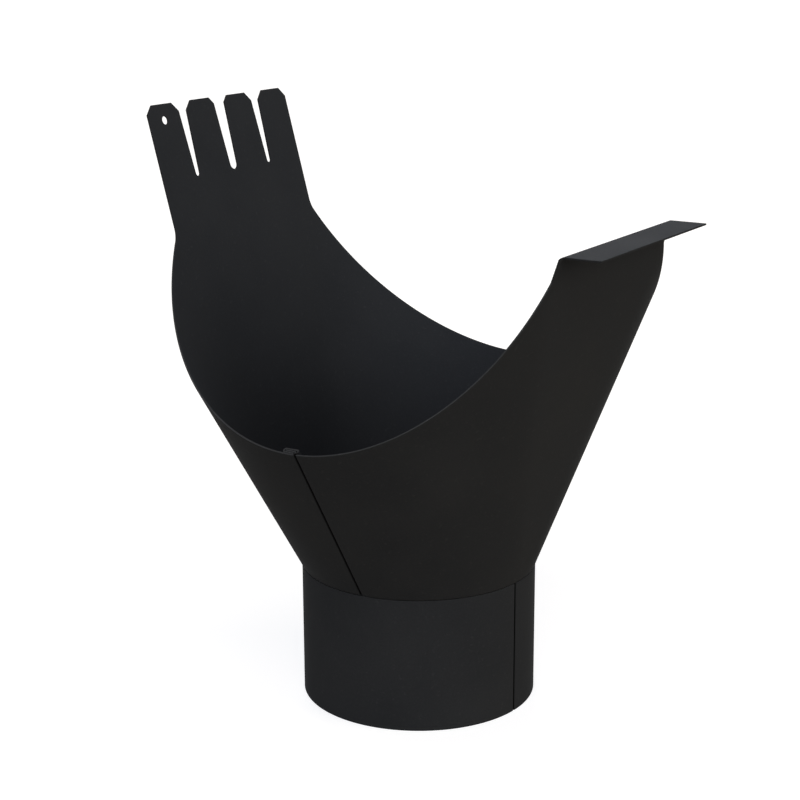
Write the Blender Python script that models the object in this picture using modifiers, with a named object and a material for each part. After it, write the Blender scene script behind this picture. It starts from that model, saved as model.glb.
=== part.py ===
"""Outlet for a half-round rain gutter, folded from coated steel sheet.

Two pieces: a funnel that wraps round the gutter from below, and a short round spigot that
carries the water into the downpipe. X runs across the gutter, with the bend-over tabs at -X
and the bent-out lip at +X. Y runs along the gutter. The origin is on the spigot's axis, at its foot.
"""

import math

import bmesh
import bpy
from mathutils import Matrix, Vector

MM = 0.001

# Sheet and round spigot
SHEET = 0.6 * MM
SPIGOT_DIAMETER = 86.0 * MM
SHOULDER_HEIGHT = 49.3 * MM
COLLAR_DEPTH = 9.0 * MM
LAP_GAP = 0.3 * MM
JOGGLE_SLANT = math.radians(65.0)
OUTER_BEND = 0.35 * MM
INNER_BEND = 0.12 * MM

# Gutter that the funnel is cut to
GUTTER_RADIUS = 77.8 * MM
GUTTER_AXIS_HEIGHT = 188.1 * MM

# Flat walls: the front one ends in the lip, the back one in a narrower strap with the tabs
WALL_WIDTH = 85.2 * MM
LIP_HEIGHT = 175.8 * MM
LIP_DEPTH = 13.4 * MM
LIP_BEND_RADIUS = 0.4 * MM
STRAP_WIDTH = 83.2 * MM
STRAP_CORNER = 4.0 * MM
TIP_HEIGHT = 214.3 * MM

# Slots between the tabs, measured along the sheet from the tips
SLOT_DEPTH = 27.4 * MM
SLOT_PITCH = 21.8 * MM
MIDDLE_SLOT_MOUTH = 6.2 * MM
MIDDLE_SLOT_ROOT = 4.1 * MM
SIDE_SLOT_MOUTH = 4.4 * MM
SIDE_SLOT_ROOT = 2.2 * MM
MIDDLE_CHAMFER = 2.4 * MM
TAB_CHAMFER = 3.3 * MM
HOLE_DIAMETER = 3.0 * MM
HOLE_FROM_TIP = 5.9 * MM

# Flat lock seams, with both hooks on the inner side of the wall
LOCK_WIDTH = 5.4 * MM
LOCK_GAP = 0.1 * MM
LOCK_BEND = 0.65 * MM
LOCK_CREASE = 0.12 * MM
LOCK_TIP_GAP = 0.3 * MM
FUNNEL_SEAM_OFFSET = 2.7 * MM
SPIGOT_SEAM_ANGLE = math.radians(-5.5)
NOTCH_CLEARANCE = 0.5 * MM

# Fineness of the curves
WALL_STEP = math.radians(3.0)
BEND_STEPS = 3
CORNER_STEPS = 4
SLOT_END_STEPS = 10
HOLE_STEPS = 32
CUTTER_THICKNESS = 6.0 * MM
CUTTER_OVERRUN = 3.0 * MM
WELD_DISTANCE = 0.001 * MM
ROUNDING = 1e-6
SHARP_ANGLE = math.radians(35.0)

# Black coating: linear colours and roughness
FUNNEL_COLOUR = (0.0185, 0.0195, 0.0215)
FUNNEL_ROUGHNESS = 0.48
SPIGOT_COLOUR = (0.0195, 0.0200, 0.0220)
SPIGOT_ROUGHNESS = 0.45

# Worked out from the sizes above
RADIUS = SPIGOT_DIAMETER / 2
COLLAR_RADIUS = RADIUS - SHEET - LAP_GAP
SPIGOT_TOP = SHOULDER_HEIGHT - SHEET / math.tan(JOGGLE_SLANT) - LAP_GAP / math.sin(JOGGLE_SLANT)
AXIS_RISE = GUTTER_AXIS_HEIGHT - SHOULDER_HEIGHT
WALL_SLANT = math.asin(GUTTER_RADIUS / math.hypot(RADIUS, AXIS_RISE)) - math.atan2(RADIUS, AXIS_RISE)
TANGENT_HEIGHT = GUTTER_AXIS_HEIGHT - GUTTER_RADIUS * math.sin(WALL_SLANT)
FLARE = math.tan(WALL_SLANT)
SPREAD = WALL_WIDTH / 2 / (TANGENT_HEIGHT - SHOULDER_HEIGHT)
HOLE_FROM_MIDDLE = (STRAP_WIDTH / 2 + SLOT_PITCH + SIDE_SLOT_MOUTH / 2) / 2
LAYER = SHEET + LOCK_GAP

FAR, NEAR = 1, -1


def wall_x(height):
    """Distance of the flat front or back wall's outer face from the spigot's axis."""
    return RADIUS + FLARE * (height - SHOULDER_HEIGHT)


def cone_point(side, angle, height):
    """Point on the outer face of a side. The side is a slant cone whose level sections are half
    circles: they grow out of the spigot's half circle and move apart as they rise."""
    rise = height - SHOULDER_HEIGHT
    section = wall_x(height)
    return Vector((section * math.cos(angle), side * (section * math.sin(angle) + SPREAD * rise), height))


def cone_normal(side, angle):
    """Outward normal of the side's outer face, the same all along a straight line of it."""
    slope = FLARE + SPREAD * math.sin(angle)
    return Vector((math.cos(angle), side * math.sin(angle), -slope)).normalized()


def rim_height(angle):
    """Height where the straight line of the side at this angle meets the round gutter."""
    reach = RADIUS * math.cos(angle)
    slope = FLARE * math.cos(angle)
    square = slope * slope + 1
    linear = 2 * (reach * slope - AXIS_RISE)
    constant = reach * reach + AXIS_RISE * AXIS_RISE - GUTTER_RADIUS * GUTTER_RADIUS
    root = math.sqrt(max(linear * linear - 4 * square * constant, 0.0))
    return SHOULDER_HEIGHT + (-linear - root) / (2 * square)


def shoulder_profile(angle, has_collar):
    """Outer face from the collar's lower edge up to the foot of the cone, as radius and height.
    The sheet steps inwards by one thickness, so that the spigot's edge lies flush outside it."""
    if not has_collar:
        return [(RADIUS, SHOULDER_HEIGHT)]
    up_cone = Vector((FLARE + SPREAD * math.sin(angle), 1)).normalized()
    up_step = Vector((math.sin(JOGGLE_SLANT), math.cos(JOGGLE_SLANT)))
    up_collar = Vector((0, 1))
    upper = Vector((RADIUS, SHOULDER_HEIGHT))
    lower = upper - up_step * (RADIUS - COLLAR_RADIUS) / up_step.x
    points = [Vector((COLLAR_RADIUS, SHOULDER_HEIGHT - COLLAR_DEPTH))]
    for corner, before, after, run in (
        (lower, up_collar, up_step, INNER_BEND),
        (upper, up_step, up_cone, OUTER_BEND),
    ):
        start = corner - before * run
        end = corner + after * run
        points += [start, (start + end + corner * 2) / 4, end]
    return [(point.x, point.y) for point in points]


def wall_column(side, angle, has_collar=True):
    """Points of the outer face from its lower edge to the rim, along one line of a side."""
    column = [
        Vector((radius * math.cos(angle), side * radius * math.sin(angle), height))
        for radius, height in shoulder_profile(angle, has_collar)
    ]
    column.append(cone_point(side, angle, rim_height(angle)))
    return column


def arc(centre_u, centre_v, radius, start, end, steps):
    """Points of a bend in the seam's section, between two angles in degrees."""
    turns = [math.radians(start + (end - start) * step / steps) for step in range(steps + 1)]
    return [(centre_u + radius * math.cos(turn), centre_v + radius * math.sin(turn)) for turn in turns]


def outer_hook():
    """Hook that ends the wall left of the seam, as points (u, v) of its outer face from its free
    edge. u runs round the wall to the right from the seam's groove, v runs inwards."""
    depth = 2 * LAYER + SHEET
    tip = [(SHEET - LOCK_WIDTH + LOCK_TIP_GAP, depth)]
    lower = arc(-LOCK_BEND, depth - LOCK_BEND, LOCK_BEND, 90, 0, BEND_STEPS)
    upper = arc(-LOCK_BEND, LOCK_BEND, LOCK_BEND, 0, -90, BEND_STEPS)
    return tip + lower + upper


def inner_hook():
    """Hook that ends the wall right of the seam: it steps in under the outer hook, runs below it
    and folds back into it. Points (u, v) of its outer face, from the wall to its free edge."""
    depth = 3 * LAYER
    fold = (depth - LAYER - SHEET) / 2
    fold_u = SHEET - LOCK_WIDTH + fold
    shoulder = arc(LOCK_GAP + LOCK_BEND, LOCK_BEND, LOCK_BEND, 270, 180, BEND_STEPS)
    crease = arc(LOCK_GAP - LOCK_CREASE, depth - LOCK_CREASE, LOCK_CREASE, 0, 90, BEND_STEPS)
    turn = arc(fold_u, depth - fold, fold, 90, 270, 2 * BEND_STEPS)
    return shoulder + crease + turn + [(-SHEET - LOCK_TIP_GAP, LAYER + SHEET)]


def seam_angle(u, height):
    """Angle that the near side has at this height, at the distance u from its seam's groove."""
    return math.pi / 2 - (FUNNEL_SEAM_OFFSET + u) / wall_x(height)


def funnel_seam_point(u, v, height):
    """Seam point on the near side, u round the wall from the groove and v in from its outer face."""
    angle = seam_angle(u, height)
    return cone_point(NEAR, angle, height) - cone_normal(NEAR, angle) * v


def funnel_seam_column(u, v):
    """Points from the shoulder to the rim along one line of the funnel's seam."""
    top = rim_height(seam_angle(u, rim_height(math.pi / 2)))
    return [funnel_seam_point(u, v, SHOULDER_HEIGHT), funnel_seam_point(u, v, top)]


def steps_between(start, end, step):
    """Evenly spaced values from start to end, no further apart than the step."""
    count = max(1, math.ceil(abs(end - start) / step - ROUNDING))
    return [start + (end - start) * index / count for index in range(count + 1)]


def add_strip(mesh, columns):
    """Joins neighbouring columns of points with faces. Columns of unlike length are joined from
    the top down, which leaves a notch below the shorter one."""
    rows = [[mesh.verts.new(point) for point in column] for column in columns]
    for left, right in zip(rows, rows[1:]):
        count = min(len(left), len(right))
        left, right = left[-count:], right[-count:]
        for index in range(count - 1):
            mesh.faces.new((left[index], left[index + 1], right[index + 1], right[index]))


def wall_edge(sign, side, width, top):
    """Edge of a flat wall from the rim's end up to the wall's top. Where the wall goes on as a
    narrower strap, the edge eases into it in a rounded corner."""
    start = rim_height(0.0)
    edge = [(start, WALL_WIDTH / 2)]
    if width < WALL_WIDTH:
        for share in steps_between(0.0, 1.0, 1 / CORNER_STEPS)[1:]:
            excess = (WALL_WIDTH - width) / 2 * (1 - share) ** 2
            edge.append((start + STRAP_CORNER * share, width / 2 + excess))
    edge.append((top, width / 2))
    return [Vector((sign * wall_x(height), side * half, height)) for height, half in edge]


def flat_wall(mesh, sign, first, last, width, top):
    """Flat front or back wall as one face: a triangle that stands on the shoulder, and the strap
    above it."""
    foot, foot_height = shoulder_profile(0.0, True)[-1]
    outline = [Vector((sign * foot, 0.0, foot_height))]
    outline += wall_edge(sign, first, width, top)
    outline += reversed(wall_edge(sign, last, width, top))
    mesh.faces.new([mesh.verts.new(point) for point in outline])


def lip_profile():
    """Outer face of the lip in the XZ plane: up the wall, round the bend and out. It becomes the
    underside of the lip, so it lies one sheet below the lip's top face."""
    underside = LIP_HEIGHT - SHEET
    corner = Vector((wall_x(underside), underside))
    turn = math.pi / 2 - WALL_SLANT
    run = LIP_BEND_RADIUS * math.tan(turn / 2)
    start = corner - Vector((math.sin(WALL_SLANT), math.cos(WALL_SLANT))) * run
    centre = start + Vector((math.cos(WALL_SLANT), -math.sin(WALL_SLANT))) * LIP_BEND_RADIUS
    points = []
    for step in range(BEND_STEPS + 1):
        heading = math.pi - WALL_SLANT - turn * step / BEND_STEPS
        points.append(centre + Vector((math.cos(heading), math.sin(heading))) * LIP_BEND_RADIUS)
    points.append(Vector((wall_x(LIP_HEIGHT) + LIP_DEPTH, underside)))
    return points


def add_lip(mesh, profile):
    """Lip across the full width of the front wall."""
    columns = [[Vector((point.x, side * WALL_WIDTH / 2, point.y)) for point in profile] for side in (FAR, NEAR)]
    add_strip(mesh, columns)


def near_right_columns():
    """Near side from the front wall to the seam. The collar is left out where the spigot's own
    seam stands inside, and round the funnel's seam."""
    groove = -SPIGOT_SEAM_ANGLE
    notch_start = groove - (LAYER + NOTCH_CLEARANCE) / RADIUS
    notch_end = groove + (LOCK_WIDTH + NOTCH_CLEARANCE) / RADIUS
    seam_start = seam_angle(LOCK_GAP + SHEET + NOTCH_CLEARANCE + LOCK_BEND, SHOULDER_HEIGHT)
    columns = [wall_column(NEAR, angle) for angle in steps_between(0.0, notch_start, WALL_STEP)]
    notch = steps_between(notch_start, notch_end, WALL_STEP)[1:-1]
    columns += [wall_column(NEAR, angle, has_collar=False) for angle in notch]
    columns += [wall_column(NEAR, angle) for angle in steps_between(notch_end, seam_start, WALL_STEP)]
    return columns


def near_left_columns():
    """Near side from the seam to the back wall."""
    seam_end = seam_angle(-LOCK_WIDTH - NOTCH_CLEARANCE, SHOULDER_HEIGHT)
    return [wall_column(NEAR, angle) for angle in steps_between(seam_end, math.pi, WALL_STEP)]


def funnel_surface():
    """Outer face of the whole funnel, from one free edge of its sheet round to the other."""
    mesh = bmesh.new()
    left_hook = [funnel_seam_column(u, v) for u, v in outer_hook()]
    left_cover = [funnel_seam_column(u, 0.0) for u in (-LOCK_WIDTH / 2, -LOCK_WIDTH)]
    add_strip(mesh, left_hook + left_cover + near_left_columns())
    flat_wall(mesh, -1, NEAR, FAR, STRAP_WIDTH, TIP_HEIGHT)
    add_strip(mesh, [wall_column(FAR, angle) for angle in steps_between(math.pi, 0.0, WALL_STEP)])
    profile = lip_profile()
    flat_wall(mesh, 1, FAR, NEAR, WALL_WIDTH, profile[0].y)
    add_lip(mesh, profile)
    add_strip(mesh, near_right_columns() + [funnel_seam_column(u, v) for u, v in inner_hook()])
    bmesh.ops.remove_doubles(mesh, verts=mesh.verts, dist=WELD_DISTANCE)
    return mesh


def spigot_point(u, v):
    """Point of the spigot's section, u round the wall from its seam's groove and v in from its
    outer face."""
    angle = SPIGOT_SEAM_ANGLE + u / RADIUS
    radius = RADIUS - v
    return Vector((radius * math.cos(angle), radius * math.sin(angle), 0.0))


def spigot_surface():
    """Outer face of the spigot: its section, drawn clockwise from one hook round to the other,
    and raised to its full height."""
    mesh = bmesh.new()
    left_hook = outer_hook()
    right_hook = inner_hook()
    start = left_hook[-1][0]
    end = right_hook[0][0] - 2 * math.pi * RADIUS
    wall = [(u, 0.0) for u in steps_between(start, end, WALL_STEP * RADIUS)[1:-1]]
    section = [mesh.verts.new(spigot_point(u, v)) for u, v in left_hook + wall + right_hook]
    edges = [mesh.edges.new(pair) for pair in zip(section, section[1:])]
    raised = bmesh.ops.extrude_edge_only(mesh, edges=edges)["geom"]
    upper = [part for part in raised if isinstance(part, bmesh.types.BMVert)]
    bmesh.ops.translate(mesh, verts=upper, vec=(0.0, 0.0, SPIGOT_TOP))
    return mesh


def make_collection(name):
    collection = bpy.data.collections.new(name)
    bpy.context.scene.collection.children.link(collection)
    return collection


def make_object(name, mesh_data, collection):
    piece = bpy.data.objects.new(name, mesh_data)
    collection.objects.link(piece)
    return piece


def coated_steel(name, colour, roughness):
    """Satin colour-coated steel sheet."""
    material = bpy.data.materials.new(name)
    material.use_nodes = True
    shader = material.node_tree.nodes["Principled BSDF"]
    shader.inputs["Base Color"].default_value = (*colour, 1.0)
    shader.inputs["Metallic"].default_value = 0.0
    shader.inputs["Roughness"].default_value = roughness
    material.diffuse_color = (*colour, 1.0)
    return material


def sheet_piece(name, surface, collection, material):
    """Turns an outer face into sheet metal, with its thickness on the inner side."""
    data = bpy.data.meshes.new(name)
    surface.to_mesh(data)
    surface.free()
    data.materials.append(material)
    data.shade_smooth()
    data.set_sharp_from_angle(angle=SHARP_ANGLE)
    piece = make_object(name, data, collection)
    shell = piece.modifiers.new("sheet", "SOLIDIFY")
    shell.thickness = SHEET
    shell.offset = -1.0
    shell.use_even_offset = True
    shell.use_quality_normals = True
    return piece


def strap_placement():
    """Frame on the back wall at its upper edge: x across the strap, y up along the sheet and
    z out through it."""
    up = Vector((-math.sin(WALL_SLANT), 0.0, math.cos(WALL_SLANT)))
    across = Vector((0.0, -1.0, 0.0))
    out = across.cross(up)
    frame = Matrix((across, up, out)).transposed().to_4x4()
    return Matrix.Translation((-wall_x(TIP_HEIGHT), 0.0, TIP_HEIGHT)) @ frame


def outline_cutter(name, outline, collection):
    """Flat outline on the strap, made thick enough to cut right through it."""
    curve = bpy.data.curves.new(name, "CURVE")
    curve.dimensions = "2D"
    curve.fill_mode = "BOTH"
    curve.extrude = CUTTER_THICKNESS / 2
    spline = curve.splines.new("POLY")
    spline.points.add(len(outline) - 1)
    for point, (x, y) in zip(spline.points, outline):
        point.co = (x, y, 0.0, 1.0)
    spline.use_cyclic_u = True
    drawn = make_object(name + "_outline", curve, collection)
    bpy.context.view_layer.update()
    data = bpy.data.meshes.new_from_object(drawn.evaluated_get(bpy.context.evaluated_depsgraph_get()))
    bpy.data.objects.remove(drawn)
    weld = bmesh.new()
    weld.from_mesh(data)
    bmesh.ops.remove_doubles(weld, verts=weld.verts, dist=WELD_DISTANCE)
    bmesh.ops.recalc_face_normals(weld, faces=weld.faces)
    weld.to_mesh(data)
    weld.free()
    cutter = make_object(name, data, collection)
    cutter.matrix_world = strap_placement()
    cutter.hide_render = True
    cutter.display_type = "WIRE"
    return cutter


def slot_outline(centre, mouth, root, chamfer_left, chamfer_right):
    """Tapered slot with a round end and the cut corners of the tabs beside its mouth."""
    lean = math.atan2((mouth - root) / 2, SLOT_DEPTH)
    radius = root / 2
    points = []
    for turn in steps_between(math.pi + lean, 2 * math.pi - lean, math.pi / SLOT_END_STEPS):
        points.append((centre + radius * math.cos(turn), radius - SLOT_DEPTH + radius * math.sin(turn)))
    points.append((centre + mouth / 2, -chamfer_right))
    points.append((centre + mouth / 2 + chamfer_right + CUTTER_OVERRUN, CUTTER_OVERRUN))
    points.append((centre - mouth / 2 - chamfer_left - CUTTER_OVERRUN, CUTTER_OVERRUN))
    points.append((centre - mouth / 2, -chamfer_left))
    return points


def corner_outline(sign):
    """Triangle that cuts an outer corner of the strap."""
    edge = sign * STRAP_WIDTH / 2
    return [
        (edge + sign * CUTTER_OVERRUN, -TAB_CHAMFER - CUTTER_OVERRUN),
        (edge + sign * CUTTER_OVERRUN, CUTTER_OVERRUN),
        (edge - sign * (TAB_CHAMFER + CUTTER_OVERRUN), CUTTER_OVERRUN),
    ]


def hole_outline():
    """Nail hole in the outer tab of the near side."""
    radius = HOLE_DIAMETER / 2
    turns = [2 * math.pi * step / HOLE_STEPS for step in range(HOLE_STEPS)]
    return [(HOLE_FROM_MIDDLE + radius * math.cos(turn), radius * math.sin(turn) - HOLE_FROM_TIP) for turn in turns]


def tab_cutters(collection):
    """All cuts that turn the strap into four tabs."""
    outlines = {
        "slot_middle": slot_outline(0.0, MIDDLE_SLOT_MOUTH, MIDDLE_SLOT_ROOT, MIDDLE_CHAMFER, MIDDLE_CHAMFER),
        "hole": hole_outline(),
    }
    for name, sign in (("near", 1), ("far", -1)):
        outlines["slot_" + name] = slot_outline(
            sign * SLOT_PITCH, SIDE_SLOT_MOUTH, SIDE_SLOT_ROOT, TAB_CHAMFER, TAB_CHAMFER
        )
        outlines["corner_" + name] = corner_outline(sign)
    return [outline_cutter(name, outline, collection) for name, outline in outlines.items()]


def build():
    for old in list(bpy.data.objects):
        bpy.data.objects.remove(old)
    pieces = make_collection("gutter_outlet")
    cutters = make_collection("gutter_outlet_cutters")

    funnel_finish = coated_steel("funnel_coating", FUNNEL_COLOUR, FUNNEL_ROUGHNESS)
    spigot_finish = coated_steel("spigot_coating", SPIGOT_COLOUR, SPIGOT_ROUGHNESS)
    funnel = sheet_piece("funnel", funnel_surface(), pieces, funnel_finish)
    sheet_piece("spigot", spigot_surface(), pieces, spigot_finish)
    for cutter in tab_cutters(cutters):
        cut = funnel.modifiers.new(cutter.name, "BOOLEAN")
        cut.operation = "DIFFERENCE"
        cut.object = cutter


build()
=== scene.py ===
import math

import bmesh
import bpy
from mathutils import Matrix, Vector


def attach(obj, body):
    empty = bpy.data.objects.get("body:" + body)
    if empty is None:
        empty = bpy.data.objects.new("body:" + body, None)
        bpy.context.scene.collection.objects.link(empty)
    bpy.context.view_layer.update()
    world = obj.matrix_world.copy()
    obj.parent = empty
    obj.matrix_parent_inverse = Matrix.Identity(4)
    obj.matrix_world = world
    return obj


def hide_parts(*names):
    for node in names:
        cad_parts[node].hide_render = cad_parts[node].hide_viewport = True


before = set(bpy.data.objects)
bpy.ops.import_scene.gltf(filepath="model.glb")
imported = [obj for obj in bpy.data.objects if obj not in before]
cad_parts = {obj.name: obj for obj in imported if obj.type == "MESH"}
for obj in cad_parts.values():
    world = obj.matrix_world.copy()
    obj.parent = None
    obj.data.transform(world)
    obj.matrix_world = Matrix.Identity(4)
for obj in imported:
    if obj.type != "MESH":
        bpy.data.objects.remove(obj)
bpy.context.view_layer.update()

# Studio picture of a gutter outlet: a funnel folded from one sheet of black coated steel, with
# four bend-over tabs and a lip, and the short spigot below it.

MM = 0.001

# Sheet, spigot and the gutter that the funnel is cut to
SHEET = 0.6 * MM
SPIGOT_RADIUS = 43.0 * MM
SHOULDER_HEIGHT = 49.3 * MM
GUTTER_RADIUS = 77.8 * MM
GUTTER_AXIS_HEIGHT = 188.1 * MM

# Collar that steps inwards, so that the spigot lies flush outside it, pressed against it
COLLAR_DEPTH = 9.0 * MM
LAP_GAP = 0.06 * MM
JOGGLE_SLANT = math.radians(65.0)
OUTER_BEND = 0.35 * MM
INNER_BEND = 0.12 * MM
BEND_STEPS = 4

# Flat walls, and the strap that carries the tabs
WALL_WIDTH = 85.2 * MM
STRAP_WIDTH = 83.2 * MM
STRAP_CORNER = 4.0 * MM
TIP_HEIGHT = 214.3 * MM

# Lip, and how far its near end and the wall's top beside it are cut back
LIP_HEIGHT = 175.8 * MM
LIP_DEPTH = 13.4 * MM
LIP_BEND_RADIUS = 0.4 * MM
LIP_SETBACK = 2.9 * MM
WALL_SETBACK = 1.2 * MM

# Slots between the tabs, measured along the sheet from the tips
SLOT_DEPTH = 27.4 * MM
SLOT_PITCH = 21.8 * MM
MIDDLE_SLOT = {"mouth": 6.2 * MM, "root": 4.1 * MM, "chamfer": 2.4 * MM}
SIDE_SLOT = {"mouth": 4.4 * MM, "root": 2.2 * MM, "chamfer": 3.3 * MM}
TAB_CHAMFER = SIDE_SLOT["chamfer"]
HOLE_RADIUS = 1.5 * MM
HOLE_FROM_TIP = 5.9 * MM
HOLE_FROM_MIDDLE = (STRAP_WIDTH / 2 + SLOT_PITCH + SIDE_SLOT["mouth"] / 2) / 2

# Flat lock seams, with both hooks on the inner side of the wall
LOCK_WIDTH = 5.4 * MM
LOCK_GAP = 0.1 * MM
LOCK_BEND = 0.65 * MM
LOCK_CREASE = 0.12 * MM
LOCK_TIP_GAP = 0.3 * MM
FUNNEL_SEAM_OFFSET = 2.7 * MM
SPIGOT_SEAM_ANGLE = math.radians(-5.5)
NOTCH_CLEARANCE = 0.5 * MM
LAYER = SHEET + LOCK_GAP

# The painted shade in a seam's groove is at its darkest once the groove is this share of the bend's radius
# deep
GROOVE_SHADE_DEPTH = 0.2

# Fineness of the curves
WALL_STEP = math.radians(1.0)
CONE_ROWS = 16
SPIGOT_ROWS = 6
CORNER_STEPS = 10
LIP_BEND_STEPS = 8
SLOT_END_STEPS = 24
HOLE_STEPS = 48

# Rounding that the shears leave on cut edges, and the edges that are sharp enough to have it
EDGE_ROUNDING = 0.11 * MM
EDGE_ANGLE = math.radians(50.0)

# Extra lines this near an edge keep the sheet between them flat: as a width on the strap and the
# lip, as a share of a wall's height, and as a share of a flat wall's half width
EDGE_BAND = 0.4 * MM
EDGE_SHARE = 0.012
FLAT_SHARE = 0.985

# Shading is smooth across bends up to the first angle, and flat sheet within the second is merged
SMOOTH_ANGLE = math.radians(35.0)
FLAT_ANGLE = math.radians(1.0)

# Points closer than this are welded together
WELD = 0.001 * MM

# Allowances for rounding: in a count of steps, and in square metres where a flat wall just
# touches the gutter
COUNT_SLACK = 1e-6
TANGENT_SLACK = 1e-8

# Worked out from the sizes above
COLLAR_RADIUS = SPIGOT_RADIUS - SHEET - LAP_GAP
SPIGOT_TOP = SHOULDER_HEIGHT - SHEET / math.tan(JOGGLE_SLANT) - LAP_GAP / math.sin(JOGGLE_SLANT)
AXIS_RISE = GUTTER_AXIS_HEIGHT - SHOULDER_HEIGHT
AXIS_REACH = math.hypot(SPIGOT_RADIUS, AXIS_RISE)
WALL_SLANT = math.asin(GUTTER_RADIUS / AXIS_REACH) - math.atan2(SPIGOT_RADIUS, AXIS_RISE)
TANGENT_HEIGHT = GUTTER_AXIS_HEIGHT - GUTTER_RADIUS * math.sin(WALL_SLANT)
FLARE = math.tan(WALL_SLANT)
SPREAD = WALL_WIDTH / 2 / (TANGENT_HEIGHT - SHOULDER_HEIGHT)

# Inputs of the two trees that roll the blanks
FUNNEL_SIZES = {
    "Spigot radius": SPIGOT_RADIUS,
    "Shoulder height": SHOULDER_HEIGHT,
    "Gutter radius": GUTTER_RADIUS,
    "Gutter axis rise": AXIS_RISE,
    "Flare": FLARE,
    "Spread": SPREAD,
}
SPIGOT_SIZES = {"Spigot radius": SPIGOT_RADIUS, "Spigot height": SPIGOT_TOP, "Seam angle": SPIGOT_SEAM_ANGLE}

# Sides of the funnel along the gutter, as signs of Y
FAR, NEAR = 1.0, -1.0

# Numbers that each point of the funnel's blank carries into the rolling
ROLLING_NUMBERS = ("side", "around", "inset", "drop")

# Places of the finishes on a finished piece
OUTER_SIDE, CUT_EDGE, INNER_SIDE = 0, 1, 2


# Numbers inside a node tree

class Amount:
    """A number inside a node tree. Plain arithmetic on it adds the Math nodes."""

    def __init__(self, tree, socket):
        self.tree = tree
        self.socket = socket

    def combine(self, operation, *others):
        """Result of a Math node on this number and the others."""
        node = self.tree.nodes.new("ShaderNodeMath")
        node.operation = operation
        for place, value in enumerate((self, *others)):
            if isinstance(value, Amount):
                self.tree.links.new(value.socket, node.inputs[place])
            else:
                node.inputs[place].default_value = value
        return Amount(self.tree, node.outputs[0])

    def __add__(self, other):
        return self.combine("ADD", other)

    def __sub__(self, other):
        return self.combine("SUBTRACT", other)

    def __mul__(self, other):
        return self.combine("MULTIPLY", other)

    def __truediv__(self, other):
        return self.combine("DIVIDE", other)

    def __neg__(self):
        return self.combine("MULTIPLY", -1.0)

    def cosine(self):
        return self.combine("COSINE")

    def sine(self):
        return self.combine("SINE")

    def root(self):
        """Square root, where a value below 0 counts as 0."""
        return self.combine("MAXIMUM", 0.0).combine("SQRT")


# Blanks: the flat sheet before it is rolled

def steps_between(start, end, step):
    """Evenly spaced values from start to end, no further apart than the step."""
    count = max(1, math.ceil(abs(end - start) / step - COUNT_SLACK))
    return [start + (end - start) * index / count for index in range(count + 1)]


def arc(centre_u, centre_v, radius, start, end, steps):
    """Points of a bend in a seam's section, between two angles in degrees."""
    turns = [math.radians(start + (end - start) * step / steps) for step in range(steps + 1)]
    return [(centre_u + radius * math.cos(turn), centre_v + radius * math.sin(turn)) for turn in turns]


def outer_hook():
    """Hook that ends the wall left of a seam, from its free edge. Points are (u, v): u round the
    wall to the right from the groove, v inwards."""
    depth = 2 * LAYER + SHEET
    tip = [(SHEET - LOCK_WIDTH + LOCK_TIP_GAP, depth)]
    lower = arc(-LOCK_BEND, depth - LOCK_BEND, LOCK_BEND, 90, 0, BEND_STEPS)
    upper = arc(-LOCK_BEND, LOCK_BEND, LOCK_BEND, 0, -90, BEND_STEPS)
    return tip + lower + upper


def inner_hook():
    """Hook that ends the wall right of a seam: it steps in under the outer hook and folds back
    into it."""
    depth = 3 * LAYER
    fold = (depth - LAYER - SHEET) / 2
    shoulder = arc(LOCK_GAP + LOCK_BEND, LOCK_BEND, LOCK_BEND, 270, 180, BEND_STEPS)
    crease = arc(LOCK_GAP - LOCK_CREASE, depth - LOCK_CREASE, LOCK_CREASE, 0, 90, BEND_STEPS)
    turn = arc(SHEET - LOCK_WIDTH + fold, depth - fold, fold, 90, 270, 2 * BEND_STEPS)
    return shoulder + crease + turn + [(-SHEET - LOCK_TIP_GAP, LAYER + SHEET)]


def collar_rows(angle):
    """Rows of the collar below the cone, as (inset, drop) from the shoulder's corner."""
    up_cone = Vector((FLARE + SPREAD * math.sin(angle), 1)).normalized()
    up_step = Vector((math.sin(JOGGLE_SLANT), math.cos(JOGGLE_SLANT)))
    upper = Vector((0.0, 0.0))
    lower = upper - up_step * (SPIGOT_RADIUS - COLLAR_RADIUS) / up_step.x
    points = [Vector((COLLAR_RADIUS - SPIGOT_RADIUS, -COLLAR_DEPTH))]
    for corner, before, after, run in (
        (lower, Vector((0, 1)), up_step, INNER_BEND),
        (upper, up_step, up_cone, OUTER_BEND),
    ):
        start = corner - before * run
        end = corner + after * run
        for step in range(BEND_STEPS + 1):
            share = step / BEND_STEPS
            points.append(start * (1 - share) ** 2 + corner * 2 * share * (1 - share) + end * share ** 2)
    return [(-point.x, -point.y) for point in points]


def wall_rows(count):
    """Rows of a wall as shares of its height. The second and the last but one stand close to its
    edges, so that the wall between them is shaded flat, without the turn of the bent edges."""
    return [0.0, EDGE_SHARE] + [row / count for row in range(1, count)] + [1.0 - EDGE_SHARE, 1.0]


def wall_column(side, angle, has_collar=True):
    """One line of the funnel's wall. Each point holds the angle round the side, the share of the
    way up, the depth under the outer face, the groove's painted shade, the side, the way round,
    the inset and the drop. A side below 1 puts the line on the flat wall, that share of its half width out."""
    collar = collar_rows(angle) if has_collar else [(0.0, 0.0)]
    column = [(angle, 0.0, 0.0, 0.0, side, 0.0, inset, drop) for inset, drop in collar]
    return column + [(angle, share, 0.0, 0.0, side, 0.0, 0.0, 0.0) for share in wall_rows(CONE_ROWS)[1:]]


def groove_painted_shade(u, v):
    """How much painted shade a point of a hook carries, drawn as a dark line along a seam: it grows
    from the lip of the groove down its two bends, and the parts behind them have none."""
    if abs(u) > 2 * LOCK_BEND or v > LOCK_BEND + WELD:
        return 0.0
    return min(1.0, v / (LOCK_BEND * GROOVE_SHADE_DEPTH))


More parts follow.
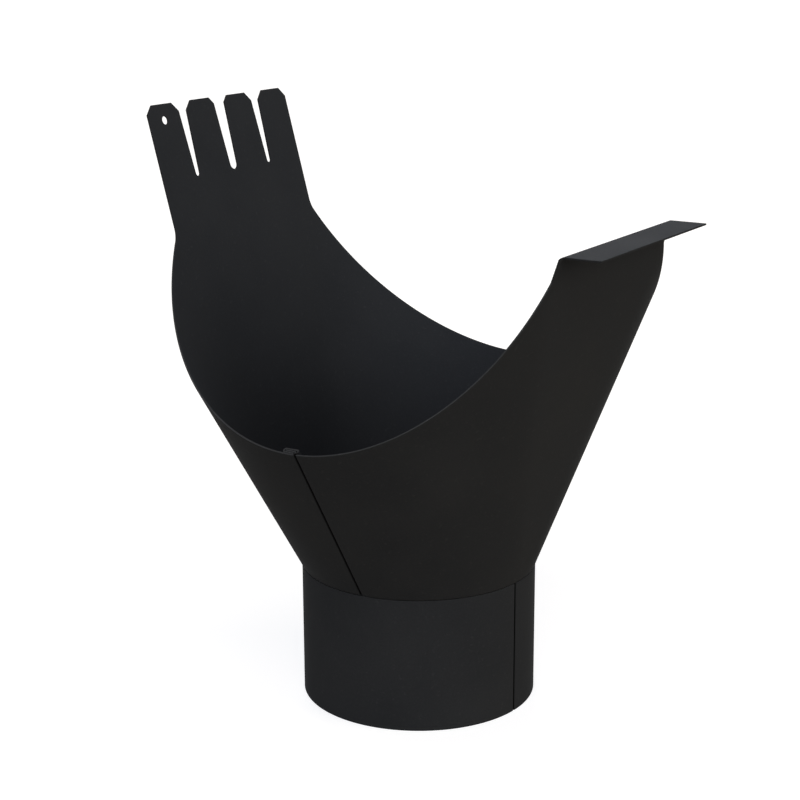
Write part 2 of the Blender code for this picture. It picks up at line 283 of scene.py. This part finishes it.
def seam_column(u, v):
    """One line of a hook on the near side, at a set distance from the seam's groove."""
    around = FUNNEL_SEAM_OFFSET + u
    painted_shade = groove_painted_shade(u, v)
    return [(math.pi / 2, share, v, painted_shade, NEAR, around, 0.0, 0.0) for share in wall_rows(CONE_ROWS)]


def seam_angle_at_shoulder(u):
    """Angle round the near side at the shoulder, at this distance from the seam's groove."""
    return math.pi / 2 - (FUNNEL_SEAM_OFFSET + u) / SPIGOT_RADIUS


def funnel_columns():
    """All lines of the funnel's sheet, from one hook round to the other."""
    left_end = seam_angle_at_shoulder(-LOCK_WIDTH - NOTCH_CLEARANCE)
    right_end = seam_angle_at_shoulder(LOCK_GAP + SHEET + NOTCH_CLEARANCE + LOCK_BEND)
    groove = -SPIGOT_SEAM_ANGLE
    notch_start = groove - (LAYER + NOTCH_CLEARANCE) / SPIGOT_RADIUS
    notch_end = groove + (LOCK_WIDTH + NOTCH_CLEARANCE) / SPIGOT_RADIUS

    columns = [seam_column(u, v) for u, v in outer_hook() + [(-LOCK_WIDTH / 2, 0.0), (-LOCK_WIDTH, 0.0)]]
    columns += [wall_column(NEAR, angle) for angle in steps_between(left_end, math.pi, WALL_STEP)]
    columns += [wall_column(side * FLAT_SHARE, math.pi) for side in (NEAR, FAR)]
    columns += [wall_column(FAR, angle) for angle in steps_between(math.pi, 0.0, WALL_STEP)]
    columns += [wall_column(side * FLAT_SHARE, 0.0) for side in (FAR, NEAR)]
    columns += [wall_column(NEAR, angle) for angle in steps_between(0.0, notch_start, WALL_STEP)]
    notch = steps_between(notch_start, notch_end, WALL_STEP)[1:-1]
    columns += [wall_column(NEAR, angle, has_collar=False) for angle in notch]
    columns += [wall_column(NEAR, angle) for angle in steps_between(notch_end, right_end, WALL_STEP)]
    return columns + [seam_column(u, v) for u, v in inner_hook()]


def spigot_columns():
    """All lines of the spigot's sheet: way round, share of the height and depth."""
    left, right = outer_hook(), inner_hook()
    end = right[0][0] - 2 * math.pi * SPIGOT_RADIUS
    wall = [(u, 0.0) for u in steps_between(left[-1][0], end, WALL_STEP * SPIGOT_RADIUS)[1:-1]]
    return [
        [(u, share, v, groove_painted_shade(u, v)) for share in wall_rows(SPIGOT_ROWS)] for u, v in left + wall + right
    ]


def make_blank(name, columns, extras=()):
    """Mesh of the flat sheet. Columns of unlike length are joined from the top down, which
    leaves a notch below the shorter one."""
    sheet = bmesh.new()
    layers = [sheet.verts.layers.float.new(extra) for extra in extras]
    rows = []
    for column in columns:
        row = []
        for values in column:
            vertex = sheet.verts.new(values[:3])
            for layer, value in zip(layers, values[3:]):
                vertex[layer] = value
            row.append(vertex)
        rows.append(row)
    for left, right in zip(rows, rows[1:]):
        count = min(len(left), len(right))
        left, right = left[-count:], right[-count:]
        for index in range(count - 1):
            sheet.faces.new((left[index], left[index + 1], right[index + 1], right[index]))
    data = bpy.data.meshes.new(name)
    sheet.to_mesh(data)
    sheet.free()
    return data


# Rolling the blanks with Geometry Nodes

def new_tree(name, sizes):
    """Empty tree with the sheet, its coating and the named sizes as inputs."""
    tree = bpy.data.node_groups.new(name, "GeometryNodeTree")
    tree.is_modifier = True
    tree.interface.new_socket("Sheet", in_out="INPUT", socket_type="NodeSocketGeometry")
    tree.interface.new_socket("Coating", in_out="INPUT", socket_type="NodeSocketMaterial")
    for size in sizes:
        tree.interface.new_socket(size, in_out="INPUT", socket_type="NodeSocketFloat")
    tree.interface.new_socket("Sheet", in_out="OUTPUT", socket_type="NodeSocketGeometry")
    inputs = tree.nodes.new("NodeGroupInput")
    amounts = {size: Amount(tree, inputs.outputs[size]) for size in sizes}
    return tree, inputs, amounts


def blank_place(tree):
    """The three numbers held by a point's place in the flat blank."""
    place = tree.nodes.new("GeometryNodeInputPosition")
    parts = tree.nodes.new("ShaderNodeSeparateXYZ")
    tree.links.new(place.outputs["Position"], parts.inputs[0])
    return [Amount(tree, socket) for socket in parts.outputs]


def stored(tree, name):
    """Number kept on each point of the blank under this name."""
    node = tree.nodes.new("GeometryNodeInputNamedAttribute")
    node.data_type = "FLOAT"
    node.inputs["Name"].default_value = name
    return Amount(tree, node.outputs["Attribute"])


def finish_tree(tree, inputs, x, y, z):
    """Moves each point of the blank to its rolled place and puts the coating on."""
    place = tree.nodes.new("ShaderNodeCombineXYZ")
    for socket, amount in zip(place.inputs, (x, y, z)):
        tree.links.new(amount.socket, socket)
    roll = tree.nodes.new("GeometryNodeSetPosition")
    realize = tree.nodes.new("GeometryNodeRealizeInstances")
    coat = tree.nodes.new("GeometryNodeSetMaterial")
    outputs = tree.nodes.new("NodeGroupOutput")
    tree.links.new(inputs.outputs["Sheet"], roll.inputs["Geometry"])
    tree.links.new(place.outputs[0], roll.inputs["Position"])
    tree.links.new(roll.outputs[0], realize.inputs[0])
    tree.links.new(realize.outputs[0], coat.inputs["Geometry"])
    tree.links.new(inputs.outputs["Coating"], coat.inputs["Material"])
    tree.links.new(coat.outputs[0], outputs.inputs["Sheet"])


def rim_rise(angle, sizes):
    """Height above the shoulder where the wall's straight line at this angle meets the gutter."""
    reach = sizes["Spigot radius"] * angle.cosine()
    slope = sizes["Flare"] * angle.cosine()
    rise = sizes["Gutter axis rise"]
    square = slope * slope + 1.0
    beside = reach + slope * rise
    inside = sizes["Gutter radius"] * sizes["Gutter radius"] * square - beside * beside - TANGENT_SLACK
    return (rise - reach * slope - inside.root()) / square


def funnel_tree():
    """Rolls the funnel's blank. A side is a slant cone whose level sections are half circles:
    they grow out of the spigot's half circle, move apart as they rise, and end on the gutter."""
    tree, inputs, sizes = new_tree("roll_funnel", FUNNEL_SIZES)
    base_angle, share, depth = blank_place(tree)
    side, around, inset, drop = (stored(tree, name) for name in ROLLING_NUMBERS)

    seam_rise = rim_rise(base_angle, sizes)
    top_angle = base_angle - around / (sizes["Spigot radius"] + sizes["Flare"] * seam_rise)
    rise = rim_rise(top_angle, sizes) * share
    section = sizes["Spigot radius"] + sizes["Flare"] * rise
    angle = base_angle - around / section

    slope = sizes["Flare"] + sizes["Spread"] * angle.sine()
    length = (slope * slope + 1.0).root()
    inwards = depth / length + inset
    x = (section - inwards) * angle.cosine()
    y = ((section - inwards) * angle.sine() + sizes["Spread"] * rise) * side
    z = sizes["Shoulder height"] + rise + slope * depth / length - drop
    finish_tree(tree, inputs, x, y, z)
    return tree


def spigot_tree():
    """Rolls the spigot's blank round its axis."""
    tree, inputs, sizes = new_tree("roll_spigot", SPIGOT_SIZES)
    around, share, depth = blank_place(tree)
    angle = sizes["Seam angle"] + around / sizes["Spigot radius"]
    radius = sizes["Spigot radius"] - depth
    finish_tree(tree, inputs, radius * angle.cosine(), radius * angle.sine(), sizes["Spigot height"] * share)
    return tree


def plain_mesh(piece):
    """Evaluates an object with its modifiers and returns the plain mesh."""
    bpy.context.view_layer.update()
    return bpy.data.meshes.new_from_object(piece.evaluated_get(bpy.context.evaluated_depsgraph_get()))


def rolled(name, blank, tree, coating, sizes):
    """Puts a blank through its tree and returns the rolled sheet as a plain mesh."""
    carrier = bpy.data.objects.new(name + "_blank", blank)
    bpy.context.scene.collection.objects.link(carrier)
    roll = carrier.modifiers.new("roll", "NODES")
    roll.node_group = tree
    for socket in tree.interface.items_tree:
        if socket.item_type != "SOCKET" or socket.in_out != "INPUT":
            continue
        if socket.name == "Coating":
            roll[socket.identifier] = coating
        elif socket.name in sizes:
            roll[socket.identifier] = sizes[socket.name]
    data = plain_mesh(carrier)
    bpy.data.objects.remove(carrier)
    return data


# Flat walls, drawn and bent in bmesh

def wall_x(height):
    """Distance of the flat walls' outer faces from the spigot's axis."""
    return SPIGOT_RADIUS + FLARE * (height - SHOULDER_HEIGHT)


def strap_height(along):
    """Height of a place on the strap, from its distance up the sheet past the tips."""
    return TIP_HEIGHT + along * math.cos(WALL_SLANT)


def slot_edge(centre, mouth, root, chamfer):
    """Edge of a slot from the tip line down and back, as (across, along). Across runs to the
    near side and along runs up the sheet from the tips."""
    lean = math.atan2((mouth - root) / 2, SLOT_DEPTH)
    radius = root / 2
    edge = [(centre + mouth / 2 + chamfer, 0.0), (centre + mouth / 2, -chamfer)]
    for turn in steps_between(2 * math.pi - lean, math.pi + lean, math.pi / SLOT_END_STEPS):
        edge.append((centre + radius * math.cos(turn), radius - SLOT_DEPTH + radius * math.sin(turn)))
    return edge + [(centre - mouth / 2, -chamfer), (centre - mouth / 2 - chamfer, 0.0)]


def strap_side(sign):
    """Side edge of the strap from the rim up to its tab's cut corner, as (across, height). The
    edge eases from the wall's width into the strap's in a rounded corner."""
    half, excess = STRAP_WIDTH / 2, (WALL_WIDTH - STRAP_WIDTH) / 2
    edge = []
    for step in range(1, CORNER_STEPS + 1):
        share = step / CORNER_STEPS
        edge.append((sign * (half + excess * (1 - share) ** 2), TANGENT_HEIGHT + STRAP_CORNER * share))
    edge.append((sign * half, strap_height(-TAB_CHAMFER)))
    edge.append((sign * (half - TAB_CHAMFER), TIP_HEIGHT))
    return edge


def strap_outline():
    """Whole outline of the strap, as (across, height), from the near end of its lower edge."""
    cuts = []
    for centre, slot in ((SLOT_PITCH, SIDE_SLOT), (0.0, MIDDLE_SLOT), (-SLOT_PITCH, SIDE_SLOT)):
        cuts += [(across, strap_height(along)) for across, along in slot_edge(centre, **slot)]
    foot = [(share * WALL_WIDTH / 2, TANGENT_HEIGHT) for share in (1, -1, -FLAT_SHARE, FLAT_SHARE)]
    return foot[:1] + strap_side(1) + cuts + strap_side(-1)[::-1] + foot[1:]


def hole_outline():
    """Nail hole in the outer tab of the near side."""
    outline = []
    for step in range(HOLE_STEPS):
        turn = 2 * math.pi * step / HOLE_STEPS
        along = HOLE_RADIUS * math.sin(turn) - HOLE_FROM_TIP
        outline.append((HOLE_FROM_MIDDLE + HOLE_RADIUS * math.cos(turn), strap_height(along)))
    return outline


def add_strap(sheet):
    """Fills the strap between its outline and the nail hole, facing backwards."""
    edges = []
    for outline in (strap_outline(), hole_outline()):
        ring = [sheet.verts.new((-wall_x(height), -across, height)) for across, height in outline]
        edges += [sheet.edges.new(pair) for pair in zip(ring, ring[1:] + ring[:1])]
    filled = bmesh.ops.triangle_fill(sheet, edges=edges, use_beauty=True)["geom"]
    inner = [part for part in filled if isinstance(part, bmesh.types.BMEdge)]
    joined = bmesh.ops.dissolve_limit(sheet, angle_limit=FLAT_ANGLE, verts=[], edges=inner)["region"]
    faces = [part for part in joined if isinstance(part, bmesh.types.BMFace)]
    for face in faces:
        face.normal_update()
        if face.normal.x > 0:
            face.normal_flip()
    bmesh.ops.inset_region(sheet, faces=faces, thickness=EDGE_BAND, use_boundary=True, use_even_offset=True)


def lip_profile():
    """Outer face of the lip in the XZ plane: up the wall, round the bend and out. Points close to
    the bend and to the lip's edge keep the flats between them flat."""
    underside = LIP_HEIGHT - SHEET
    turn = math.pi / 2 - WALL_SLANT
    run = LIP_BEND_RADIUS * math.tan(turn / 2)
    up_wall = Vector((math.sin(WALL_SLANT), math.cos(WALL_SLANT)))
    start = Vector((wall_x(underside), underside)) - up_wall * run
    centre = start + Vector((math.cos(WALL_SLANT), -math.sin(WALL_SLANT))) * LIP_BEND_RADIUS
    points = [Vector((wall_x(TANGENT_HEIGHT), TANGENT_HEIGHT)), start - up_wall * EDGE_BAND]
    for step in range(LIP_BEND_STEPS + 1):
        heading = math.pi - WALL_SLANT - turn * step / LIP_BEND_STEPS
        points.append(centre + Vector((math.cos(heading), math.sin(heading))) * LIP_BEND_RADIUS)
    bend_end, edge = points[-1].x, wall_x(LIP_HEIGHT) + LIP_DEPTH
    return points + [Vector((x, underside)) for x in (bend_end + EDGE_BAND, edge - EDGE_BAND, edge)]


def lip_setbacks():
    """How far the near end of each line of the lip's profile is cut back: a little at the top of
    the wall, more round the bend, and all of it along the lip."""
    bend = steps_between(WALL_SETBACK, LIP_SETBACK, (LIP_SETBACK - WALL_SETBACK) / LIP_BEND_STEPS)
    return [0.0, WALL_SETBACK] + bend + [LIP_SETBACK] * 3


def add_lip(sheet):
    """Top of the front wall and the lip bent out from it."""
    profile = lip_profile()
    columns = []
    for side, share in ((FAR, 1.0), (FAR, FLAT_SHARE), (NEAR, FLAT_SHARE), (NEAR, 1.0)):
        across = side * share * WALL_WIDTH / 2
        setbacks = lip_setbacks() if side == NEAR else [0.0] * len(profile)
        places = [(point.x, across + setback, point.y) for point, setback in zip(profile, setbacks)]
        columns.append([sheet.verts.new(place) for place in places])
    for left, right in zip(columns, columns[1:]):
        for index in range(len(profile) - 1):
            sheet.faces.new((left[index], left[index + 1], right[index + 1], right[index]))


# From outer face to sheet metal

def sheet_piece(name, data, edge_wear_and_highlight, inner_cool_painted_side):
    """Gives a rolled outer face its thickness on the inner side, eases the cut edges and returns
    the finished object. Cut edges and the inner side take finishes of their own."""
    data.materials.append(edge_wear_and_highlight)
    data.materials.append(inner_cool_painted_side)
    data.shade_smooth()
    raw = bpy.data.objects.new(name + "_skin", data)
    bpy.context.scene.collection.objects.link(raw)
    shell = raw.modifiers.new("sheet", "SOLIDIFY")
    shell.thickness = SHEET
    shell.offset = -1.0
    shell.use_even_offset = True
    shell.use_quality_normals = True
    shell.material_offset_rim = CUT_EDGE
    shell.material_offset = INNER_SIDE
    ease = raw.modifiers.new("eased_edges", "BEVEL")
    ease.width = EDGE_ROUNDING
    ease.segments = 2
    ease.limit_method = "ANGLE"
    ease.angle_limit = EDGE_ANGLE
    ease.material = -1
    finished = plain_mesh(raw)
    bpy.data.objects.remove(raw)
    finished.name = name
    finished.shade_smooth()
    finished.set_sharp_from_angle(angle=SMOOTH_ANGLE)
    piece = bpy.data.objects.new(name, finished)
    bpy.context.scene.collection.objects.link(piece)
    return piece


def coat_edges_above(piece, height):
    """Gives the cut edges above a height the outer side's coating, without the paler edge and its painted
    highlight.
    """
    for face in piece.data.polygons:
        if face.material_index == CUT_EDGE and face.center.z > height:
            face.material_index = OUTER_SIDE


def make_funnel(coating, edge_wear_and_highlight, inner_cool_painted_side):
    """Funnel from its rolled walls, with the strap and the lip added and welded on."""
    blank = make_blank("funnel_blank", funnel_columns(), extras=("groove", *ROLLING_NUMBERS))
    walls = rolled("funnel", blank, funnel_tree(), coating, FUNNEL_SIZES)
    for name in ROLLING_NUMBERS:
        walls.attributes.remove(walls.attributes[name])
    sheet = bmesh.new()
    sheet.from_mesh(walls)
    add_strap(sheet)
    add_lip(sheet)
    bmesh.ops.remove_doubles(sheet, verts=sheet.verts, dist=WELD)
    bmesh.ops.dissolve_degenerate(sheet, edges=sheet.edges, dist=WELD)
    sheet.to_mesh(walls)
    sheet.free()
    funnel = sheet_piece("funnel_shell", walls, edge_wear_and_highlight, inner_cool_painted_side)
    coat_edges_above(funnel, TANGENT_HEIGHT)
    return funnel


def make_spigot(coating, edge_wear_and_highlight, inner_cool_painted_side):
    """Spigot, a plain round tube with its own seam."""
    blank = make_blank("spigot_blank", spigot_columns(), extras=("groove",))
    walls = rolled("spigot", blank, spigot_tree(), coating, SPIGOT_SIZES)
    return sheet_piece("spigot_tube", walls, edge_wear_and_highlight, inner_cool_painted_side)


# Finishes

# Colour coating: how much each side mirrors. The inner side, which water runs over, is smoother.
OUTER_MIRROR = 0.008
INNER_MIRROR = 0.02

FUNNEL_COAT = {
    "colour": (0.0175, 0.0178, 0.0187),
    "grain_colour": (0.0317, 0.0313, 0.0309),
    "roughness": 0.72,
    "mirror": OUTER_MIRROR,
    "shift": (0.0, 0.0, 0.0),
}
# The spigot has its own paler, bluer copy of the funnel's coating: painted light, standing in for the cooler
# light on the spigot
SPIGOT_COOL_PAINTED_COAT = {
    "colour": (0.0182, 0.0189, 0.0206),
    "grain_colour": (0.0332, 0.0333, 0.0346),
    "roughness": 0.70,
    "mirror": OUTER_MIRROR,
    "shift": (0.7, 0.4, 0.1),
}
# The inner side has its own cooler, bluer copy of the coating: painted light, standing in for the cooler
# light inside the funnel
INNER_COOL_PAINTED_COAT = {
    "colour": (0.0185, 0.0198, 0.0231),
    "grain_colour": (0.0337, 0.0349, 0.0384),
    "roughness": 0.72,
    "mirror": INNER_MIRROR,
    "shift": (0.2, 0.6, 0.5),
}
# Cut edges: paler partly as the worn, bare edge of the coated sheet, and partly as a painted highlight where
# the edges catch the light
EDGE_WEAR_AND_HIGHLIGHT_COAT = {
    "colour": (0.031, 0.0315, 0.033),
    "grain_colour": (0.066, 0.066, 0.068),
    "roughness": 0.60,
    "mirror": INNER_MIRROR,
    "shift": (0.3, 0.1, 0.2),
}
# Painted shade: the colour that the seams' grooves darken to, in place of the shade down in them
GROOVE_SHADE_COLOUR = (0.003, 0.003, 0.003)

# Patterns in the coating: bumps a metre, how many finer layers they hold and how strong those are
GRAIN = {"per_metre": 1500.0, "layers": 3.0, "fine": 0.6}
SPECKS = {"per_metre": 700.0, "layers": 1.0, "fine": 0.5}
CLOUDS = {"per_metre": 22.0, "layers": 4.0, "fine": 0.55}
WAVES = {"per_metre": 14.0, "layers": 1.0, "fine": 0.4}

# Part of each pattern's range that turns the coating paler, and how far at the most
PALE_SPECKS, SPECK_PALENESS = (0.62, 0.80), 0.30
PALE_CLOUDS, CLOUD_PALENESS = (0.30, 0.72), 0.24
PALE_GRAIN, GRAIN_PALENESS = (0.35, 0.70), 0.14

# Part of a pattern's range that changes the gloss, and by how much of roughness either way
DULL_CLOUDS, CLOUD_DULLNESS = (0.25, 0.75), 0.05
DULL_GRAIN, GRAIN_DULLNESS = (0.30, 0.70), 0.03

GRAIN_RELIEF = {"Strength": 0.35, "Distance": 0.03 * MM}
WAVE_RELIEF = {"Strength": 0.25, "Distance": 0.8 * MM}


def pattern(tree, place, per_metre, layers, fine):
    """Irregular pattern in the coating, from 0 to 1."""
    node = tree.nodes.new("ShaderNodeTexNoise")
    for name, value in (("Scale", per_metre), ("Detail", layers), ("Roughness", fine)):
        node.inputs[name].default_value = value
    tree.links.new(place, node.inputs["Vector"])
    return Amount(tree, node.outputs["Fac"])


def spread_out(amount, span, to_low, to_high):
    """Maps a part of a value's range onto another range, and holds it there."""
    node = amount.tree.nodes.new("ShaderNodeMapRange")
    node.interpolation_type = "SMOOTHSTEP"
    low, high = span
    for name, value in (("From Min", low), ("From Max", high), ("To Min", to_low), ("To Max", to_high)):
        node.inputs[name].default_value = value
    amount.tree.links.new(amount.socket, node.inputs["Value"])
    return Amount(amount.tree, node.outputs["Result"])


def mixed(tree, share, plain, other):
    """Colour between two others. The plain one may be a colour or another node's output."""
    node = tree.nodes.new("ShaderNodeMix")
    node.data_type = "RGBA"
    tree.links.new(share, node.inputs["Factor"])
    if isinstance(plain, tuple):
        node.inputs["A"].default_value = (*plain, 1.0)
    else:
        tree.links.new(plain, node.inputs["A"])
    node.inputs["B"].default_value = (*other, 1.0)
    return node.outputs["Result"]


def relief(tree, height, sizes, under=None):
    """Bumps of this height, on top of the relief under them."""
    node = tree.nodes.new("ShaderNodeBump")
    for name, value in sizes.items():
        node.inputs[name].default_value = value
    tree.links.new(height.socket, node.inputs["Height"])
    if under:
        tree.links.new(under, node.inputs["Normal"])
    return node.outputs["Normal"]


def coated_steel(name, colour, grain_colour, roughness, mirror, shift):
    """Satin black colour coating on steel: a fine orange-peel grain, sparse paler specks, broad
    clouding where it was handled, and shallow waves left in the sheet by rolling. Shade is painted
    dark down in the seams' grooves. The shift gives each finish a part of the patterns of its own."""
    material = bpy.data.materials.new(name)
    material.use_nodes = True
    tree = material.node_tree
    shader = tree.nodes["Principled BSDF"]
    shader.inputs["Metallic"].default_value = 0.0
    shader.inputs["Specular IOR Level"].default_value = mirror

    coordinates = tree.nodes.new("ShaderNodeTexCoord")
    mapping = tree.nodes.new("ShaderNodeMapping")
    mapping.inputs["Location"].default_value = shift
    tree.links.new(coordinates.outputs["Object"], mapping.inputs["Vector"])
    place = mapping.outputs["Vector"]
    grain = pattern(tree, place, **GRAIN)
    specks = pattern(tree, place, **SPECKS)
    clouds = pattern(tree, place, **CLOUDS)
    waves = pattern(tree, place, **WAVES)

    paler = spread_out(specks, PALE_SPECKS, 0.0, SPECK_PALENESS)
    paler = paler + spread_out(clouds, PALE_CLOUDS, 0.0, CLOUD_PALENESS)
    paler = paler + spread_out(grain, PALE_GRAIN, 0.0, GRAIN_PALENESS)
    tint = mixed(tree, paler.socket, colour, grain_colour)
    # The groove attribute paints shade into the seams' grooves
    groove = tree.nodes.new("ShaderNodeAttribute")
    groove.attribute_name = "groove"
    tree.links.new(mixed(tree, groove.outputs["Fac"], tint, GROOVE_SHADE_COLOUR), shader.inputs["Base Color"])

    gloss = spread_out(clouds, DULL_CLOUDS, roughness - CLOUD_DULLNESS, roughness + CLOUD_DULLNESS)
    gloss = gloss + spread_out(grain, DULL_GRAIN, -GRAIN_DULLNESS, GRAIN_DULLNESS)
    tree.links.new(gloss.socket, shader.inputs["Roughness"])

    surface = relief(tree, waves, WAVE_RELIEF, under=relief(tree, grain, GRAIN_RELIEF))
    tree.links.new(surface, shader.inputs["Normal"])
    return material


# Studio

# Camera of the photograph, and the pixel that the origin lands on
CAMERA_AZIMUTH = math.radians(32.09)
CAMERA_ELEVATION = math.radians(15.07)
CAMERA_ROLL = math.radians(-0.2521)
CAMERA_DISTANCE = 682.1 * MM
NEAREST_SEEN = 0.01
FARTHEST_SEEN = 100.0
FOCAL_PIXELS = 1809.2
IMAGE_PIXELS = 800.0
ORIGIN_RIGHT = 418.95
ORIGIN_DOWN = 681.3
SENSOR_MM = 36.0

# Light: even from all round, and five broad lamps
WHITE = (1.0, 1.0, 1.0)
SKY_COLOUR = (0.300, 0.300, 0.300)
KEY = {"level": 0.27, "azimuth": 30.0, "elevation": 48.0, "spread": 30.0, "colour": WHITE}
FRONT_LAMP = {"level": 0.325, "azimuth": 5.0, "elevation": 8.0, "spread": 30.0, "colour": (0.90, 1.0, 1.12)}
SIDE_LAMP = {"level": 0.42, "azimuth": 99.0, "elevation": 16.5, "spread": 40.0, "colour": (1.03, 1.0, 0.90)}
BACK_LAMP = {"level": 0.36, "azimuth": 220.0, "elevation": 16.0, "spread": 30.0, "colour": (0.97, 1.0, 1.04)}
FILL_LAMP = {"level": 0.08, "azimuth": 262.0, "elevation": 12.0, "spread": 30.0, "colour": WHITE}

# Floor: its own colour, which tints the light that it throws back, and the glow that lifts it
FLOOR_COLOUR = (0.560, 0.500, 0.420)
FLOOR_GLOW = (0.96, 1.00, 1.07)
FLOOR_LIFT = 0.72
FLOOR_SIZE = 40.0


def towards(azimuth, elevation):
    """Direction from the object, with azimuth turned from -Y towards +X."""
    flat = math.cos(elevation)
    return Vector((math.sin(azimuth) * flat, -math.cos(azimuth) * flat, math.sin(elevation)))


def add_camera():
    """Camera of the photograph. The origin, on the spigot's axis at its foot, lands on the pixel
    (ORIGIN_RIGHT, ORIGIN_DOWN)."""
    back = towards(CAMERA_AZIMUTH, CAMERA_ELEVATION)
    level = Vector((math.cos(CAMERA_AZIMUTH), math.sin(CAMERA_AZIMUTH), 0.0))
    upright = level.cross(-back)
    right = level * math.cos(CAMERA_ROLL) + upright * math.sin(CAMERA_ROLL)
    up = upright * math.cos(CAMERA_ROLL) - level * math.sin(CAMERA_ROLL)
    metres_per_pixel = CAMERA_DISTANCE / FOCAL_PIXELS
    place = back * CAMERA_DISTANCE
    place -= right * (ORIGIN_RIGHT - IMAGE_PIXELS / 2) * metres_per_pixel
    place += up * (ORIGIN_DOWN - IMAGE_PIXELS / 2) * metres_per_pixel
    data = bpy.data.cameras.new("camera")
    data.sensor_width = SENSOR_MM
    data.lens = FOCAL_PIXELS * SENSOR_MM / IMAGE_PIXELS
    data.clip_start = NEAREST_SEEN
    data.clip_end = FARTHEST_SEEN
    camera = bpy.data.objects.new("camera", data)
    bpy.context.scene.collection.objects.link(camera)
    turned = Matrix((right, up, back)).transposed().to_4x4()
    camera.matrix_world = Matrix.Translation(place) @ turned
    bpy.context.scene.camera = camera


def seen_directly(tree):
    """1 for rays that come from the camera, a reflection or a transmission, otherwise 0."""
    path = tree.nodes.new("ShaderNodeLightPath")
    camera, glossy, transmission = (
        Amount(tree, path.outputs[name]) for name in ("Is Camera Ray", "Is Glossy Ray", "Is Transmission Ray")
    )
    return camera.combine("MAXIMUM", glossy).combine("MAXIMUM", transmission)


def add_sky():
    """Even light from all round, seen as plain white."""
    world = bpy.data.worlds.new("studio")
    world.use_nodes = True
    tree = world.node_tree
    background = tree.nodes["Background"]
    level = tree.nodes.new("ShaderNodeMix")
    level.data_type = "RGBA"
    level.inputs["A"].default_value = (*SKY_COLOUR, 1.0)
    level.inputs["B"].default_value = (*WHITE, 1.0)
    tree.links.new(seen_directly(tree).socket, level.inputs["Factor"])
    tree.links.new(level.outputs["Result"], background.inputs["Color"])
    bpy.context.scene.world = world


def add_lamp(name, level, azimuth, elevation, spread, colour):
    """Broad soft lamp, the same strength everywhere. Level 1 shows a colour about as written."""
    data = bpy.data.lights.new(name, "SUN")
    data.energy = level * math.pi
    data.angle = math.radians(spread)
    data.color = colour
    lamp = bpy.data.objects.new(name, data)
    aim = towards(math.radians(azimuth), math.radians(elevation))
    lamp.rotation_euler = aim.to_track_quat("Z", "Y").to_euler()
    bpy.context.scene.collection.objects.link(lamp)


def add_floor():
    """Plain pale floor. What the camera sees of it is lifted to white, and the shadow stays."""
    sheet = bmesh.new()
    bmesh.ops.create_grid(sheet, x_segments=1, y_segments=1, size=FLOOR_SIZE / 2)
    data = bpy.data.meshes.new("floor")
    sheet.to_mesh(data)
    sheet.free()
    material = bpy.data.materials.new("studio_floor")
    material.use_nodes = True
    tree = material.node_tree
    shader = tree.nodes["Principled BSDF"]
    shader.inputs["Base Color"].default_value = (*FLOOR_COLOUR, 1.0)
    shader.inputs["Roughness"].default_value = 1.0
    shader.inputs["Specular IOR Level"].default_value = 0.0
    shader.inputs["Emission Color"].default_value = (*FLOOR_GLOW, 1.0)
    lift = seen_directly(tree) * FLOOR_LIFT
    tree.links.new(lift.socket, shader.inputs["Emission Strength"])
    data.materials.append(material)
    floor = bpy.data.objects.new("floor", data)
    bpy.context.scene.collection.objects.link(floor)


add_camera()
add_sky()
add_lamp("key", **KEY)
add_lamp("front", **FRONT_LAMP)
add_lamp("side", **SIDE_LAMP)
add_lamp("back", **BACK_LAMP)
add_lamp("fill", **FILL_LAMP)
add_floor()

funnel_coating = coated_steel("funnel_coating", **FUNNEL_COAT)
spigot_coating = coated_steel("spigot_coating", **SPIGOT_COOL_PAINTED_COAT)
inner_cool_painted_coating = coated_steel("inner_cool_painted_coating", **INNER_COOL_PAINTED_COAT)
edge_wear_and_highlight = coated_steel("edge_wear_and_highlight_coating", **EDGE_WEAR_AND_HIGHLIGHT_COAT)

funnel = make_funnel(funnel_coating, edge_wear_and_highlight, inner_cool_painted_coating)
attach(funnel, "root")
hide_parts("funnel")

spigot = make_spigot(spigot_coating, edge_wear_and_highlight, inner_cool_painted_coating)
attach(spigot, "root")
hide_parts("spigot")

bpy.context.scene.view_settings.view_transform = "Standard"
